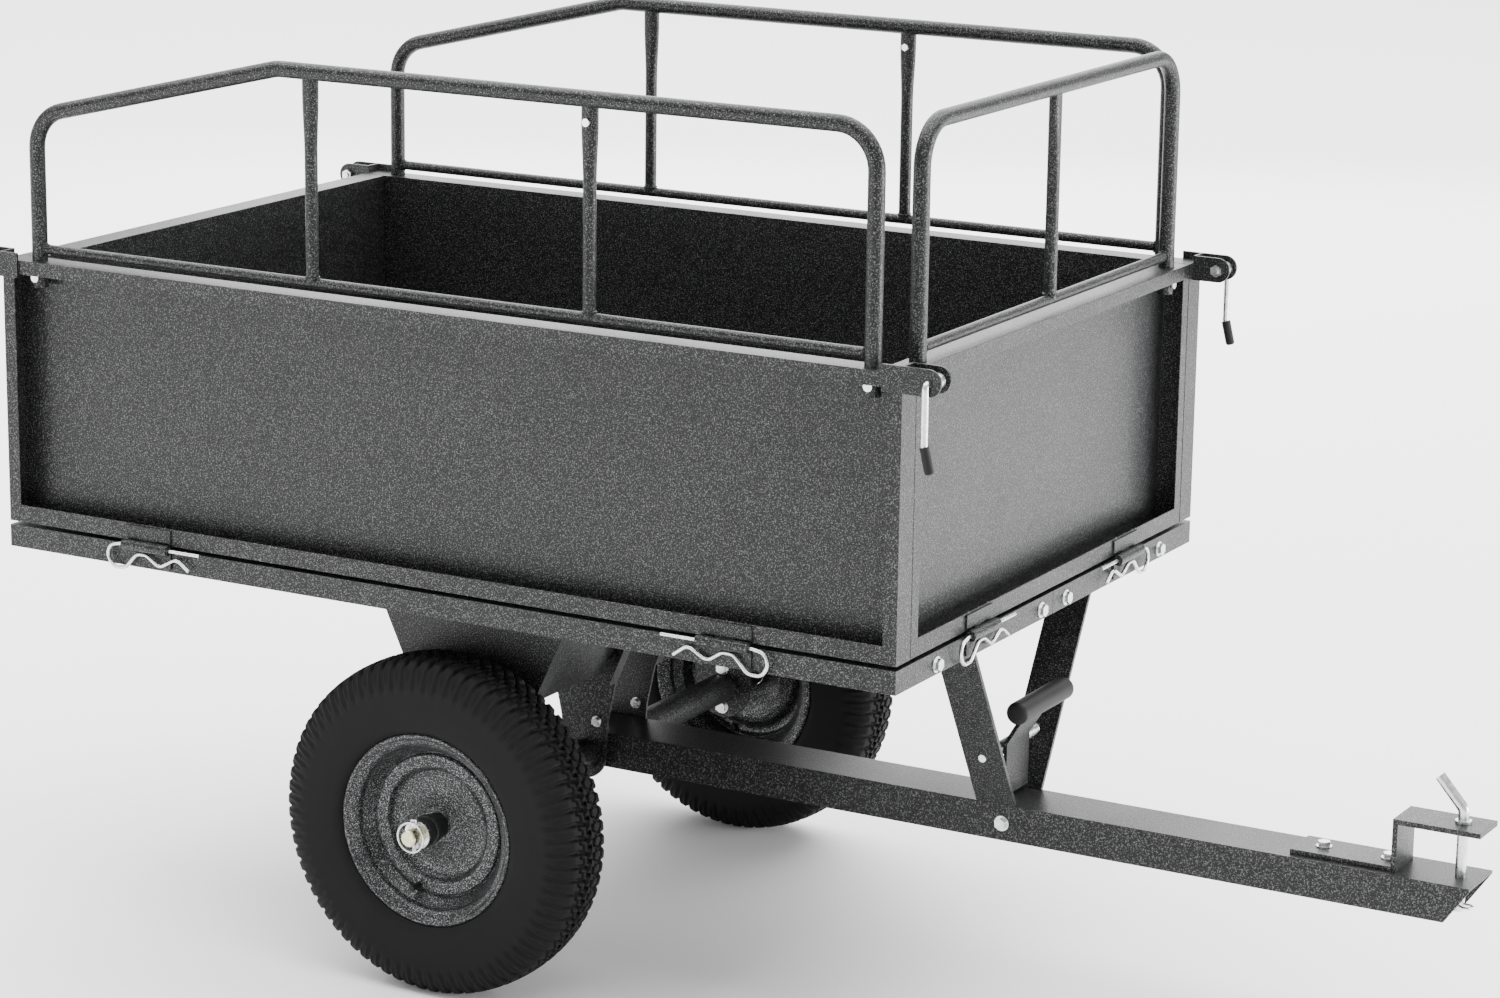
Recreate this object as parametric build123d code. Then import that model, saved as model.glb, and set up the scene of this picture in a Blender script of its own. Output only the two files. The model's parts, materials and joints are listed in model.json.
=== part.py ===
from build123d import *
from math import atan2, cos, degrees, radians, sin, tan
import os

# ---------------------------------------------------------------- driving sizes (mm)
# The cart is drawn with x = 0 at the bed's rear face, +X towards the hitch,
# y = 0 on the centre line and z = 0 on the ground.
bed_length = 1210.0
bed_width = 790.0
apron_bottom = 460.0
apron_height = 27.0
floor_sheet = 2.0
seam_gap = 0.6
panel_gap = 5.0
panel_height = 322.0
panel_depth = 33.0
panel_sheet = 1.6
stile_width = 17.0
bottom_lip = 21.0
top_lip = 17.0
corner_gap = 1.0

wheel_od = 406.0
tyre_width = 96.0
tyre_wall = 8.0
rim_flange_r = 114.0
rim_seat_r = 101.0
rim_half = 40.0
rim_sheet = 2.2
wheel_y = 360.0
axle_r = 10.0
saddle_sheet = 2.5
hub_r = 16.0
hub_half = 54.0

tongue_width = 76.0
tongue_height = 44.0
tongue_top = 232.0
tongue_wall = 3.5
tongue_back = 32.0
tongue_tip_x = 1742.0
hitch_pin_r = 6.3

guard_tube_r = 9.5
guard_wall = 1.5
guard_rail_r = 6.0
guard_post_r = 7.5
guard_screw_drop = 25.0
guard_top = 1071.0
guard_bend = 48.0
guard_inset = 44.0
guard_side_inset = 67.0
guard_foot = 32.0
guard_set = 14.9

strut_width = 50.0
strut_sheet = 5.0
strut_back = 1137.0
strut_slope = 0.56

clip_wire_r = 2.25
knuckle_r = 6.5
knuckle_length = 66.0
leaf_sheet = 2.5
bolt_r = 4.0

# clearances
run_clear = 0.07
part_clear = 0.4
hole_clear = 0.15

# ---------------------------------------------------------------- derived sizes
axle_x = bed_length / 2
axle_z = wheel_od / 2
half_bed = bed_width / 2
floor_top = apron_bottom + apron_height
floor_under = floor_top - floor_sheet
panel_bottom = floor_top + panel_gap
panel_top = panel_bottom + panel_height
inner_half = half_bed - panel_depth - corner_gap
pivot_out = knuckle_r + 0.5
pivot_z = floor_top + 1.0
half_tongue = tongue_width / 2
tongue_bottom = tongue_top - tongue_height
hub_inner_y = wheel_y - hub_half
hub_outer_y = wheel_y + hub_half
axle_half = hub_outer_y + 22.0
plate_in = half_tongue + 7.0
plate_sheet = 4.0
bracket_y = hub_inner_y - 8.0
hinge_xs = (axle_x - 395.0, axle_x + 395.0)
hinge_ys = (-196.0, 196.0)
guard_posts = (440.0, 812.0)
latch_z = panel_top - 6.0
latch_out = 32.0
latch_nose = 15.0
cheek_sheet = 3.0
cheek_span = 20.0
lever_r = 3.8
lever_bend = 6.0
strut_front = strut_back + strut_width
pedal_x = (strut_back + strut_front) / 2
pedal_z = 297.0
pedal_pin_r = 5.0
pedal_half = 30.0


# ---------------------------------------------------------------- small helpers
def block(x0, x1, y0, y1, z0, z1):
    """A box given by its two corners."""
    size = Box(x1 - x0, y1 - y0, z1 - z0)
    return Pos((x0 + x1) / 2, (y0 + y1) / 2, (z0 + z1) / 2) * size


def bar(start, end, radius):
    """A round bar between two points."""
    a = Vector(*start)
    b = Vector(*end)
    return Solid.make_cylinder(radius, (b - a).length, Plane(origin=a, z_dir=b - a))


def bent_bar(points, bend, radius):
    """A round bar or wire that follows points with rounded corners."""
    path = FilletPolyline(*points, radius=bend)
    face = Plane(origin=path @ 0, z_dir=path % 0) * Circle(radius)
    return sweep(face, path=path)


def side_plate(points, y0, y1):
    """A plate drawn in XZ, standing between two y values."""
    face = make_face(Polyline(*[(x, 0, z) for x, z in points], close=True))
    low = min(y0, y1)
    return Pos(0, low, 0) * extrude(face, amount=abs(y1 - y0), dir=(0, 1, 0))


def front_plate(points, x0, x1):
    """A plate drawn in YZ, standing between two x values."""
    face = make_face(Polyline(*[(0, y, z) for y, z in points], close=True))
    return Pos(x0, 0, 0) * extrude(face, amount=x1 - x0, dir=(1, 0, 0))


def hexagon(plane, across, height):
    """A hexagonal prism standing on a plane."""
    face = plane * RegularPolygon(across / 2, 6, major_radius=False)
    return extrude(face, amount=height, dir=plane.z_dir)


def bolt(head_at, direction, grip, radius=bolt_r, tail=4.0):
    """A hexagon bolt with two washers and a nut. head_at lies on the clamped face."""
    away = Vector(*direction)
    start = Vector(*head_at)
    end = start + away * grip
    washer_r = radius * 2.3
    washer = radius * 0.35
    across = radius * 3.2
    shank = Solid.make_cylinder(radius, grip + tail + radius * 2, Plane(origin=start, z_dir=away))
    head_washer = Solid.make_cylinder(washer_r, washer, Plane(origin=start, z_dir=away * -1))
    nut_washer = Solid.make_cylinder(washer_r, washer, Plane(origin=end, z_dir=away))
    head_plane = Plane(origin=start - away * washer, z_dir=away * -1)
    nut_plane = Plane(origin=end + away * washer, z_dir=away)
    head = hexagon(head_plane, across, radius * 1.3)
    nut = hexagon(nut_plane, across, radius * 1.6)
    return shank + head_washer + nut_washer + head + nut


def bore(at, direction, length, radius=bolt_r + hole_clear):
    """A cutter for a round hole, centred on a point."""
    start = Vector(*at) - Vector(*direction) * (length / 2)
    return Solid.make_cylinder(radius, length, Plane(origin=start, z_dir=Vector(*direction)))


def mirrored(shape):
    """The same part on the other side of the centre line."""
    return mirror(shape, about=Plane.XZ)


def group(solids):
    """Separate solids kept together as one node."""
    return Compound(children=list(solids))


# ---------------------------------------------------------------- bolt positions
def apron_bolt_places():
    """Bolts through the front and rear aprons, as (point, direction)."""
    z = apron_bottom + 12.0
    places = []
    for y in (-299.0, -33.0, 33.0, 299.0):
        places.append(((bed_length, y, z), (-1, 0, 0)))
        places.append(((0.0, y, z), (1, 0, 0)))
    return places


def floor_bolt_places():
    """Bolts down through the floor into the bracket flanges."""
    places = []
    for side in (-1, 1):
        for x in (axle_x - 120.0, axle_x + 120.0):
            places.append((x, side * (bracket_y - 16.0)))
            places.append((x, side * (plate_in + plate_sheet + 14.0)))
    return places


def strut_bolt_places():
    """Bolts down through the floor into the strut feet."""
    reach = strut_top_y() + 16.0
    return [(pedal_x, -reach), (pedal_x, reach)]


def seam_bolt_places():
    """Bolts through the two floor halves' middle flanges."""
    return [(x, apron_bottom + 12.0) for x in (150.0, axle_x, bed_length - 150.0)]


def strut_top_y():
    """Distance from the centre line to a strut where it meets the floor."""
    return half_tongue + strut_slope * (floor_under - tongue_top)


# ---------------------------------------------------------------- bed
def floor_half():
    """The floor half on the +Y side: a sheet with a turned-down edge all round."""
    outer = block(0, bed_length, seam_gap / 2, half_bed, apron_bottom, floor_top)
    inner = block(floor_sheet, bed_length - floor_sheet, seam_gap / 2 + floor_sheet,
                  half_bed - floor_sheet, apron_bottom - 1, floor_under)
    half = outer - inner
    for point, away in apron_bolt_places():
        half -= bore(point, away, 12.0)
    for x, y in floor_bolt_places() + strut_bolt_places():
        half -= bore((x, y, floor_top), (0, 0, 1), 12.0)
    for x, z in seam_bolt_places():
        half -= bore((x, 0, z), (0, 1, 0), 12.0)
    return half


def bracket_profile(top, waist, foot):
    """Outline of an axle bracket in XZ: wide at the floor, narrow round the axle."""
    right = [(top, floor_under), (top - 22, 440), (waist + 8, 350), (waist - 14, 300)]
    right += [(foot + 3, 250), (foot, axle_z)]
    turn = [(foot * cos(radians(a)), axle_z - foot * sin(radians(a))) for a in range(15, 166, 15)]
    left = [(-x, z) for x, z in reversed(right)]
    return [(axle_x + x, z) for x, z in right + turn + left]


def clamp_bolt_places():
    """Bolts above and below the axle in each outer bracket."""
    return [(axle_x, axle_z + 26.0), (axle_x, axle_z - 26.0)]


def axle_bracket():
    """The outer axle bracket on the +Y side, with a top flange and a stiffening flange."""
    y0 = bracket_y - plate_sheet
    plate = side_plate(bracket_profile(150, 78, 40), y0, bracket_y)
    flange = block(axle_x - 150, axle_x + 150, y0 - 30, y0, floor_under - plate_sheet, floor_under)
    edge = side_plate([(axle_x + 128, 440), (axle_x + 86, 350), (axle_x + 82, 352),
                       (axle_x + 124, 442)], y0 - 22, y0)
    part = plate + flange + edge
    part -= bore((axle_x, bracket_y, axle_z), (0, 1, 0), 80, axle_r + run_clear)
    for x, z in clamp_bolt_places():
        part -= bore((x, bracket_y, z), (0, 1, 0), 80)
    for x, y in floor_bolt_places():
        part -= bore((x, y, floor_under), (0, 0, 1), 20)
    return part


def pivot_bracket():
    """The middle bracket on the +Y side, beside the tongue's rear end."""
    y1 = plate_in + plate_sheet
    plate = side_plate(bracket_profile(140, 58, 30), plate_in, y1)
    flange = block(axle_x - 140, axle_x + 140, y1, y1 + 28, floor_under - plate_sheet, floor_under)
    edge = side_plate([(axle_x + 118, 440), (axle_x + 66, 350), (axle_x + 44, 300),
                       (axle_x + 40, 302), (axle_x + 62, 352), (axle_x + 114, 442)], y1, y1 + 16)
    part = plate + flange + edge
    part -= bore((axle_x, plate_in, axle_z), (0, 1, 0), 80, axle_r + run_clear)
    part -= bore((axle_x + 18, plate_in, axle_z + 45), (0, 1, 0), 20)
    for x, y in floor_bolt_places():
        part -= bore((x, y, floor_under), (0, 0, 1), 20)
    return part


def saddle():
    """The folded trough between the middle and outer brackets on the +Y side."""
    y0 = plate_in + plate_sheet + 16.0
    y1 = bracket_y - plate_sheet - 22.0
    drop = plate_sheet
    t = saddle_sheet
    outline = [(106, floor_under - drop), (62, 372), (36, 318), (-36, 318), (-62, 372),
               (-106, floor_under - drop)]
    inside = [(x - t if x > 0 else x + t, z + (0.01 if z > 400 else t)) for x, z in reversed(outline)]
    closed = [(axle_x + x, z) for x, z in outline + inside]
    trough = side_plate(closed, y0, y1)
    top = floor_under - drop
    low_y = plate_in + plate_sheet + 1.0
    high_y = bracket_y - plate_sheet - 1.0
    part = trough
    for side in (-1, 1):
        edges = sorted((axle_x + side * 103, axle_x + side * 138))
        part += block(edges[0], edges[1], low_y, high_y, top - t, top)
    for x, y in floor_bolt_places():
        part -= bore((x, y, floor_under), (0, 0, 1), 40)
    return part


def axle():
    """The axle bar, with a cross hole for a linch pin near each end."""
    part = bar((axle_x, -axle_half, axle_z), (axle_x, axle_half, axle_z), axle_r)
    part = chamfer(part.edges().filter_by(GeomType.CIRCLE), 1.5)
    for side in (-1, 1):
        part -= bore((axle_x, side * linch_y(), axle_z), (0, 0, 1), 40, 2.5 + hole_clear)
    return part


def linch_y():
    """Distance from the centre line to the linch pins."""
    return hub_outer_y + 3.0 + 5.0


def axle_tubes():
    """Two spacer tubes on the axle, one each side between the brackets."""
    y0 = plate_in + plate_sheet
    y1 = bracket_y - plate_sheet
    ring = Cylinder(19.0, y1 - y0) - Cylinder(axle_r + run_clear, y1 - y0)
    tube = Pos(axle_x, (y0 + y1) / 2, axle_z) * Rot(90, 0, 0) * ring
    for x, z in clamp_bolt_places():
        tube -= bore((x, y1, z), (0, 1, 0), 24, bolt_r * 2.6)
    return group([tube, mirrored(tube)])


def axle_washers():
    """Washers on both sides of each wheel hub."""
    parts = []
    for y, radius in ((hub_outer_y + 1.6, 17.0), (hub_inner_y - 1.6 - part_clear, 15.0)):
        for side in (-1, 1):
            ring = Cylinder(radius, 2.4) - Cylinder(axle_r + run_clear, 2.4)
            parts.append(Pos(axle_x, side * y, axle_z) * Rot(90, 0, 0) * ring)
    spacer = Cylinder(14.0, hub_inner_y - 2.8 - part_clear - bracket_y)
    spacer -= Cylinder(axle_r + run_clear, 60)
    middle = (hub_inner_y - 2.8 - part_clear + bracket_y) / 2
    for side in (-1, 1):
        parts.append(Pos(axle_x, side * middle, axle_z) * Rot(90, 0, 0) * spacer)
    return group(parts)


def linch_pins():
    """A linch pin through each axle end: a straight pin with a sprung ring round the end."""
    parts = []
    for side in (-1, 1):
        y = side * linch_y()
        pin = bar((axle_x, y, axle_z - 19), (axle_x, y, axle_z + 16), 2.5)
        head = bar((axle_x, y, axle_z + 13), (axle_x, y, axle_z + 21), 4.5)
        ring = Pos(axle_x, y + side * 8, axle_z) * Rot(90, 0, 0) * Torus(17.5, 1.3)
        link = bar((axle_x, y, axle_z + 17.5), (axle_x, y + side * 8, axle_z + 17.5), 1.7)
        parts.append(pin + head + ring + link)
    return group(parts)


def strut():
    """The +Y leg of the V support: a flat bar from the floor down to the tongue."""
    low = tongue_top + part_clear
    top_y = strut_top_y()
    foot_y = half_tongue + strut_slope * (low - tongue_top)
    t = strut_sheet / cos(atan2(strut_slope, 1))
    leg = front_plate([(foot_y, low), (foot_y - t, low), (top_y - t, floor_under),
                       (top_y, floor_under)], strut_back, strut_front)
    flange = block(strut_back, strut_front, top_y - t, top_y + 32, floor_under - strut_sheet,
                   floor_under)
    foot = block(strut_back, strut_back + 20, 2, foot_y, low, low + strut_sheet)
    part = leg + flange + foot
    part -= bore((pedal_x, half_tongue + 36, pedal_z), (0, 1, 0), 60, pedal_pin_r + 0.01)
    for x, y in strut_bolt_places():
        part -= bore((x, y, floor_under), (0, 0, 1), 20)
    return part


def pedal_pin():
    """The pedal's pivot pin, riveted through both legs of the V."""
    reach = half_tongue + strut_slope * (pedal_z - tongue_top) + 3.5
    pin = bar((pedal_x, -reach, pedal_z), (pedal_x, reach, pedal_z), pedal_pin_r)
    return fillet(pin.edges().filter_by(GeomType.CIRCLE), 1.0)


def coil(start, length, coil_r, wire_r, turns):
    """A helical wire spring along +Y from a point."""
    path = Helix(pitch=length / turns, height=length, radius=coil_r)
    face = Plane(origin=path @ 0, z_dir=path % 0) * Circle(wire_r)
    spring = sweep(face, path=path, is_frenet=True)
    return Pos(*start) * Rot(-90, 0, 0) * spring


def pedal_spring():
    """The pedal's torsion spring, wound round the pivot pin between pedal and leg."""
    reach = half_tongue + strut_slope * (pedal_z - 8 - tongue_top) - 8.0
    start = pedal_half + 1.8
    return coil((pedal_x, start, pedal_z), reach - start - 1.0, 6.6, 1.2, 7)


def bed_bolts():
    """Every bolt that holds the bed and its undercarriage together."""
    parts = [bolt(point, away, floor_sheet) for point, away in apron_bolt_places()]
    for x, y in floor_bolt_places() + strut_bolt_places():
        grip = floor_sheet + (strut_sheet if x > axle_x + 200 else plate_sheet + saddle_sheet)
        parts.append(bolt((x, y, floor_top), (0, 0, -1), grip))
    for x, z in seam_bolt_places():
        parts.append(bolt((x, seam_gap / 2 + floor_sheet, z), (0, -1, 0),
                          seam_gap + 2 * floor_sheet))
    for side in (-1, 1):
        for x, z in clamp_bolt_places():
            parts.append(bolt((x, side * (bracket_y - plate_sheet), z), (0, side, 0), plate_sheet,
                              tail=0.5))
        parts.append(bolt((axle_x + 18, side * (plate_in + plate_sheet), axle_z + 45),
                          (0, -side, 0), plate_sheet, radius=3.0, tail=0.0))
    return group(parts)


# ---------------------------------------------------------------- hinges
def fixed_leaf():
    """A hinge's fixed leaf, drawn at the origin: axis along X, face towards +Y."""
    half = knuckle_length / 2
    plate = block(-half, half, pivot_out - leaf_sheet, pivot_out, -24, 0)
    part = plate
    for x0 in (-half, half - 20):
        part += bar((x0, 0, 0), (x0 + 20, 0, 0), knuckle_r)
    part -= block(-half + 20, half - 20, -20, pivot_out + 1, -8, 10)
    part -= bar((-half - 1, 0, 0), (half + 1, 0, 0), clip_wire_r + run_clear)
    return part


def moving_leaf():
    """A hinge's moving leaf, drawn at the origin: it reaches up over the panel's lip."""
    half = knuckle_length / 2 - 20 - part_clear
    rise = panel_bottom - pivot_z
    plate = block(-half, half, pivot_out - leaf_sheet, pivot_out, 0, rise + 4)
    plate += block(-knuckle_length / 2, knuckle_length / 2, pivot_out - leaf_sheet, pivot_out,
                   knuckle_r + part_clear + 0.6, rise + bottom_lip - 2)
    part = plate + bar((-half, 0, 0), (half, 0, 0), knuckle_r)
    part -= bar((-half - 1, 0, 0), (half + 1, 0, 0), clip_wire_r + run_clear)
    return part


def r_clip():
    """A hairpin clip drawn at the origin: the straight leg along X is the hinge's pin."""
    end = knuckle_length / 2
    points = [(-end - 46, 0, 0), (end + 4, 0, 0), (end + 20, 0, -3), (end + 24, 0, -16)]
    points += [(end + 16, 0, -30), (end - 2, 0, -29), (end - 20, 0, -9.6), (end - 34, 0, -9.6)]
    points += [(end - 50, 0, -20), (end - 56, 0, -20), (end - 78, 0, -8), (end - 96, 0, -21)]
    return bent_bar(points, 3.2, clip_wire_r)


def hinge_places():
    """Every hinge as (x, y, turn about Z, mirrored). The turn faces the leaf at the bed."""
    places = []
    for i, x in enumerate(hinge_xs):
        places.append((x, -half_bed - pivot_out, 0, i == 0))
        places.append((x, half_bed + pivot_out, 180, i == 1))
    for i, y in enumerate(hinge_ys):
        places.append((bed_length + pivot_out, y, 90, i == 0))
        places.append((-pivot_out, y, -90, i == 1))
    return places


def at_hinge(shape, place):
    """A hinge piece moved from the origin to one of the hinges."""
    x, y, turn, flipped = place
    piece = mirror(shape, about=Plane.YZ) if flipped else shape
    return Pos(x, y, pivot_z) * Rot(0, 0, turn) * piece


def leaves_of(turn):
    """The two moving leaves of the panel whose hinges face one way."""
    leaf = moving_leaf()
    return group([at_hinge(leaf, p) for p in hinge_places() if p[2] == turn])


# ---------------------------------------------------------------- panels
def pan(length):
    """A folded sheet panel centred on x = 0, outer face at y = 0, inner face at +Y."""
    shell = block(-length / 2, length / 2, 0, panel_depth, panel_bottom, panel_top)
    t = panel_sheet
    shell -= block(-length / 2 + t, length / 2 - t, t, panel_depth - t, panel_bottom + t,
                   panel_top - t)
    shell -= block(-length / 2 + stile_width, length / 2 - stile_width, -1, t + 1,
                   panel_bottom + bottom_lip, panel_top - top_lip)
    return shell


def guard_line():
    """Depth of a guard's centre line behind the panel's outer face, set off from its sheet."""
    return panel_depth - panel_sheet - guard_set


def guard_holes(xs):
    """Cutters for the guard's feet where they pass through the panel's top."""
    y = guard_line()
    return [bore((x, y, panel_top), (0, 0, 1), 20, guard_tube_r + 0.02) for x in xs]


def side_panel():
    """The panel on the -Y side, in place."""
    part = pan(bed_length)
    for hole in guard_holes((guard_inset - axle_x, axle_x - guard_inset)):
        part -= hole
    return Pos(axle_x, -half_bed, 0) * part


def front_panel():
    """The front panel, between the side panels."""
    part = pan(2 * inner_half)
    reach = half_bed - guard_side_inset
    for hole in guard_holes((-reach, reach)):
        part -= hole
    return Pos(bed_length, 0, 0) * Rot(0, 0, 90) * part


def rear_panel():
    """The tailgate: the same panel with no guard."""
    return Rot(0, 0, -90) * pan(2 * inner_half)


# ---------------------------------------------------------------- guards
def post_screw_at(y):
    """Where a side guard's second post is screwed, a little below the top rail."""
    return (guard_posts[1], y, guard_top - guard_screw_drop)


def side_guard():
    """The tubular guard on the -Y side: low rear corner, sloping knee, level top rail."""
    y = -half_bed + guard_line()
    foot = panel_top - guard_foot
    x0 = guard_inset
    x1 = bed_length - guard_inset
    knee_x = guard_posts[0] - 46
    drop = (knee_x - x0) * tan(radians(13.5))
    line = [(x0, y, foot), (x0, y, guard_top - drop), (knee_x, y, guard_top),
            (x1, y, guard_top), (x1, y, foot)]
    hoop = bent_bar(line, guard_bend, guard_tube_r)
    rail_z = panel_top + 14
    part = hoop + bar((x0, y, rail_z), (x1, y, rail_z), guard_rail_r)
    for x in guard_posts:
        part += bar((x, y, rail_z), (x, y, guard_top), guard_post_r)
    part -= bent_bar(line, guard_bend, guard_tube_r - guard_wall)
    for x in (x0, x1):
        part -= guard_bolt_hole((x, y), (0, 1, 0))
    part -= guard_bolt_hole_at(post_screw_at(y), (0, 1, 0), 2.5)
    return part


def front_guard():
    """The tubular guard on the front panel: one hoop, a low rail and one post."""
    x = bed_length - guard_line()
    reach = half_bed - guard_side_inset
    foot = panel_top - guard_foot
    line = [(x, -reach, foot), (x, -reach, guard_top), (x, reach, guard_top), (x, reach, foot)]
    hoop = bent_bar(line, guard_bend, guard_tube_r)
    rail_z = panel_top + 14
    part = hoop + bar((x, -reach, rail_z), (x, reach, rail_z), guard_rail_r)
    part += bar((x, 0, rail_z), (x, 0, guard_top), guard_post_r)
    part -= bent_bar(line, guard_bend, guard_tube_r - guard_wall)
    for y in (-reach, reach):
        part -= guard_bolt_hole((x, y), (1, 0, 0))
    return part


def guard_bolt_z():
    """Height of the screws through the guard's feet."""
    return panel_top - guard_foot + 12.0


def guard_bolt_hole(at, direction):
    """A cutter for the screw through a guard's foot."""
    return guard_bolt_hole_at((at[0], at[1], guard_bolt_z()), direction, 3.0)


def guard_bolt_hole_at(at, direction, radius):
    """A cutter for a screw across a guard tube."""
    return bore(at, direction, 40, radius + hole_clear)


def guard_screw(at, direction, radius=3.0, half=guard_tube_r):
    """A screw across a guard tube, with a rounded head on its outer side."""
    a = Vector(*at)
    away = Vector(*direction)
    back = Plane(origin=a - away * half, z_dir=away)
    shank = Solid.make_cylinder(radius, half * 2, back)
    head_at = Plane(origin=a + away * half, z_dir=away)
    head = Solid.make_cylinder(radius * 1.8, 2.6, head_at)
    nut = hexagon(Plane(origin=a - away * half, z_dir=away * -1), radius * 3.2, 3.0)
    return shank + head + nut


def side_guard_screws():
    """Screws of the -Y guard: one in each foot and one at the second post's top."""
    y = -half_bed + guard_line()
    parts = [guard_screw((x, y, guard_bolt_z()), (0, -1, 0))
             for x in (guard_inset, bed_length - guard_inset)]
    parts.append(guard_screw(post_screw_at(y), (0, -1, 0), 2.5, half=guard_post_r))
    return group(parts)


def front_guard_screws():
    """Screws in the front guard's feet."""
    x = bed_length - guard_line()
    reach = half_bed - guard_side_inset
    return group([guard_screw((x, y, guard_bolt_z()), (1, 0, 0)) for y in (-reach, reach)])


# ---------------------------------------------------------------- corner latches
def latch_bracket():
    """A corner bracket drawn for the front right corner: two cheeks and a base plate."""
    nose_x = bed_length + latch_out
    y_out = -half_bed - cheek_sheet
    y_in = -half_bed + cheek_span
    z0 = latch_z - latch_nose
    z1 = latch_z + latch_nose
    outer = block(bed_length - 24, nose_x, y_out, -half_bed, z0, z1)
    inner = block(bed_length, nose_x, y_in, y_in + cheek_sheet, z0, z1)
    base = block(bed_length, bed_length + cheek_sheet, y_out, y_in + cheek_sheet, z0, z1)
    part = outer + inner + base
    for y in (y_out, y_in):
        part += bar((nose_x, y, latch_z), (nose_x, y + cheek_sheet, latch_z), latch_nose)
    part -= bore((nose_x, -half_bed, latch_z), (0, 1, 0), 120, lever_r + run_clear)
    return part


def lever_y():
    """Where the hanging part of a right lever lies: its bend starts outside the cheek."""
    return -half_bed - cheek_sheet - part_clear - max(lever_bend, lever_r)


def latch_lever():
    """A corner lever with its cam and nut: the rod hangs down beside the outer cheek."""
    x = bed_length + latch_out
    y_out = lever_y()
    y_in = -half_bed + cheek_span + cheek_sheet
    points = [(x, y_in + 9, latch_z), (x, y_out, latch_z), (x, y_out, latch_z - 66)]
    points.append((x + 7, y_out, latch_z - 94))
    rod = bent_bar(points, lever_bend, lever_r)
    cam = bar((x + 2, -half_bed + 4, latch_z), (x + 2, y_in - cheek_sheet - 4, latch_z), 9.0)
    nut = hexagon(Plane(origin=(x, y_in + part_clear, latch_z), z_dir=(0, 1, 0)), 13.0, 6.0)
    nut -= bar((x, y_in, latch_z), (x, y_in + 12, latch_z), lever_r)
    return group([rod + cam, nut])


def latch_grip():
    """The dipped grip on a corner lever's end."""
    x = bed_length + latch_out
    y = lever_y()
    start = Vector(x + 0.4, y, latch_z - 67.6)
    end = Vector(x + 7.6, y, latch_z - 96.4)
    grip = bar(start, end, 5.4)
    grip = fillet(grip.edges().filter_by(GeomType.CIRCLE).sort_by(Axis.Z)[:1], 3.0)
    rod = bent_bar([(x, y, latch_z - 30), (x, y, latch_z - 66), (x + 7, y, latch_z - 94)], lever_bend,
                   lever_r)
    return grip - rod


def to_rear(shape):
    """A front corner piece moved to the rear corner on the same side."""
    return mirror(shape, about=Plane.YZ.offset(axle_x))


# ---------------------------------------------------------------- wheels
def tyre():
    """The tyre: a hollow section turned about the axle line, with three tread grooves."""
    r = wheel_od / 2
    h = tyre_width / 2
    seat = rim_half - rim_sheet - 0.4
    outer = [(rim_seat_r, -seat + 3.8), (rim_seat_r + 4.4, -seat), (rim_flange_r + 0.5, -seat),
             (rim_flange_r + 2.5, -rim_half - 2), (124, -h + 2), (150, -h), (178, -h + 5),
             (194, -h + 16), (r, -h + 24)]
    side = list(reversed(outer))
    outer += [(r, -16), (r - 5, -14), (r - 5, -10), (r, -8), (r, 8), (r - 5, 10), (r - 5, 14), (r, 16)]
    outer += [(rr, -y) for rr, y in side]
    inner = [(rim_seat_r, rim_half - 11), (114, rim_half - 11), (126, h - tyre_wall - 1),
             (172, h - tyre_wall - 1), (186, h - 20), (r - 11, h - 30)]
    inner += [(rr, -y) for rr, y in reversed(inner)]
    face = make_face(Polyline(*[(rr, y, 0) for rr, y in outer + inner], close=True))
    return turned(face)


def turned(face):
    """A section drawn in (radius, y) and turned about the y axis, put at the left wheel."""
    body = revolve(face, axis=Axis.Y, revolution_arc=360)
    return Pos(axle_x, wheel_y, axle_z) * body


def rim_outline():
    """The rim and its dished disc, outer side at +y, as (radius, y) points."""
    t = rim_sheet
    seat = rim_seat_r - 0.02
    top = [(rim_flange_r, rim_half), (rim_flange_r, rim_half - t), (seat + 4, rim_half - t)]
    top += [(seat, rim_half - t - 3), (seat, rim_half - 13), (90, 18), (90, -18)]
    top += [(seat, -rim_half + 13), (seat, -rim_half + t + 3), (seat + 4, -rim_half + t)]
    top += [(rim_flange_r, -rim_half + t), (rim_flange_r, -rim_half), (seat + 2, -rim_half)]
    top += [(seat - t, -rim_half + t + 1), (seat - t, -rim_half + 12), (90 - t, -17)]
    disc = [(90 - t, 8), (78, 6), (72, 14), (58, 14), (52, 4), (34, 2), (27, 12), (hub_r, 12)]
    back = [(rr, y + t + 1.2) for rr, y in reversed(disc)]
    back[-1] = (90 - t, 12)
    rise = [(90 - t, 17), (seat - t, rim_half - 12), (seat - t, rim_half - t - 1)]
    rise.append((seat + 2, rim_half))
    return top + disc + back + rise


def rim():
    """The pressed steel rim, with a hole for the valve."""
    face = make_face(Polyline(*[(rr, y, 0) for rr, y in rim_outline()], close=True))
    part = turned(face)
    part -= bore(valve_at(), (0, 1, 0), 30, valve_r())
    return part


def valve_r():
    """Radius of the valve stem's base."""
    return 4.5


def valve_at():
    """Where the valve stem crosses the disc's outer step."""
    reach = 82.0
    return (axle_x - reach * sin(radians(18)), wheel_y + 7, axle_z - reach * cos(radians(18)))


def valve():
    """The valve stem: a rubber base and a stepped stem pointing out of the wheel."""
    x, y, z = valve_at()
    base = bar((x, y - 1, z), (x, y + 9, z), valve_r())
    stem = bar((x, y + 9, z), (x, y + 24, z), 3.4)
    flare = bar((x, y + 5, z), (x, y + 7.8, z), 5.6)
    return base + stem + flare


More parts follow.
